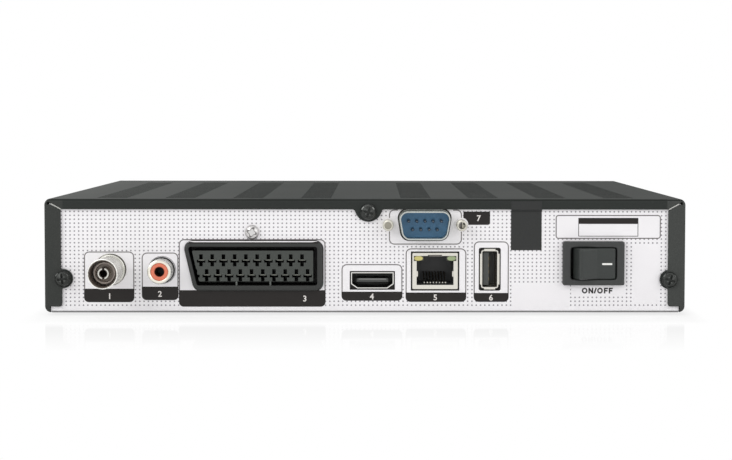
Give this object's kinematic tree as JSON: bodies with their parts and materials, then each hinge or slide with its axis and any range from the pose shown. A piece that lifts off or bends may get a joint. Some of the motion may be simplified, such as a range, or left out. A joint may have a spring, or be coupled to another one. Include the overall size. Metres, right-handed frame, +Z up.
{
  "type": "satellite television receiver",
  "caption": "Low steel-cased television receiver: folded vented cover, printed connector panel with sockets and a mains rocker, moulded fascia with window and sprung buttons.",
  "frame": {"origin": "middle of the footprint on the surface that the rubber feet stand on", "axes": "+X to the right seen from behind, +Y from the connector panel to the fascia, +Z up"},
  "size_m": [0.2182, 0.1622, 0.0398],
  "materials": {
    "cover_paint": "fine satin powder coat, charcoal",
    "panel_steel": "satin silver-white printed steel",
    "black_screw": "blackened steel",
    "bright_screw": "zinc plated",
    "label_stock": "matt tamper label",
    "foot_rubber": "soft rubber",
    "bright_metal": "tin plated",
    "nickel": "nickel plated",
    "gold_contact": "gold flashed",
    "circuit_board": "green solder mask",
    "chip_black": "moulded epoxy",
    "sink_aluminium": "extruded, plain",
    "can_sleeve": "shrunk sleeve",
    "black_moulding": "moulded black",
    "grey_moulding": "moulded dark grey",
    "ferrite": "sintered",
    "winding_tape": "taped winding",
    "fuse_glass": "clear",
    "capacitor_box": "moulded box",
    "core_grey": "moulded grey core",
    "audio_orange": "moulded orange",
    "light_lens": "diffusing lens",
    "serial_blue": "moulded blue",
    "ribbon_grey": "flat cable",
    "header_white": "moulded white",
    "lead_insulation": "soft insulation",
    "switch_black": "moulded satin black",
    "fascia_black": "polished black moulding",
    "smoked_window": "smoked acrylic",
    "display_face": "digit block",
    "button_grey": "painted button"
  },
  "bodies": {
    "cabinet": {"top_cover": "cover_paint", "cover_screws": "black_screw", "panel_screw": "bright_screw", "seal_label": "label_stock", "chassis_pan": "panel_steel", "rubber_feet": "foot_rubber", "board_standoffs": "bright_metal", "board_screws": "bright_screw", "main_board": "circuit_board", "processor_chip": "chip_black", "processor_heatsink": "sink_aluminium", "memory_chips": "chip_black", "tuner_can": "bright_metal", "small_capacitors": "can_sleeve", "card_reader": "black_moulding", "power_board": "circuit_board", "transformer_core": "ferrite", "transformer_winding": "winding_tape", "mains_fuse": "fuse_glass", "filter_choke": "ferrite", "filter_capacitor": "capacitor_box", "bulk_capacitors": "can_sleeve", "power_heatsink": "sink_aluminium", "aerial_socket_barrel": "nickel", "aerial_socket_insulator": "core_grey", "aerial_socket_contact": "nickel", "coax_socket_barrel": "nickel", "coax_socket_insulator": "audio_orange", "coax_socket_body": "black_moulding", "av_socket_frame": "grey_moulding", "av_socket_block": "grey_moulding", "av_socket_contacts": "nickel", "video_socket_shell": "bright_metal", "video_socket_tongue": "black_moulding", "network_socket_shell": "bright_metal", "network_socket_insert": "black_moulding", "network_socket_contacts": "gold_contact", "network_socket_lights": "light_lens", "bus_socket_shell": "bright_metal", "bus_socket_tongue": "black_moulding", "serial_socket_shell": "bright_metal", "serial_socket_insulator": "serial_blue", "serial_socket_pins": "gold_contact", "serial_socket_jackposts": "nickel", "ribbon_cables": "ribbon_grey", "wire_headers": "header_white", "power_harness": "lead_insulation", "power_switch_body": "switch_black", "power_switch_terminals": "nickel", "power_switch_leads": "lead_insulation", "front_fascia": "fascia_black", "display_window": "smoked_window", "front_board": "circuit_board", "display_module": "display_face", "infrared_receiver": "black_moulding", "press_switches": "bright_metal"},
    "rocker": {"power_switch_rocker": "switch_black"},
    "standby": {"standby_button": "button_grey"},
    "channel_up": {"channel_up_button": "button_grey"},
    "channel_down": {"channel_down_button": "button_grey"}
  },
  "joints": [
    {"name": "power_rocker", "type": "hinge", "parent": "cabinet", "child": "rocker", "pos_m": [0.07765, -0.0647, 0.0179], "axis": [0, 0, -1], "range_deg": [0, 25]},
    {"name": "standby_press", "type": "slide", "parent": "cabinet", "child": "standby", "axis": [0, -1, 0], "range_m": [0, 0.0005], "stiffness_N_per_m": 400, "springref_m": -0.0005},
    {"name": "channel_up_press", "type": "slide", "parent": "cabinet", "child": "channel_up", "axis": [0, -1, 0], "range_m": [0, 0.0005], "stiffness_N_per_m": 400, "springref_m": -0.0005},
    {"name": "channel_down_press", "type": "slide", "parent": "cabinet", "child": "channel_down", "axis": [0, -1, 0], "range_m": [0, 0.0005], "stiffness_N_per_m": 400, "springref_m": -0.0005}
  ]
}
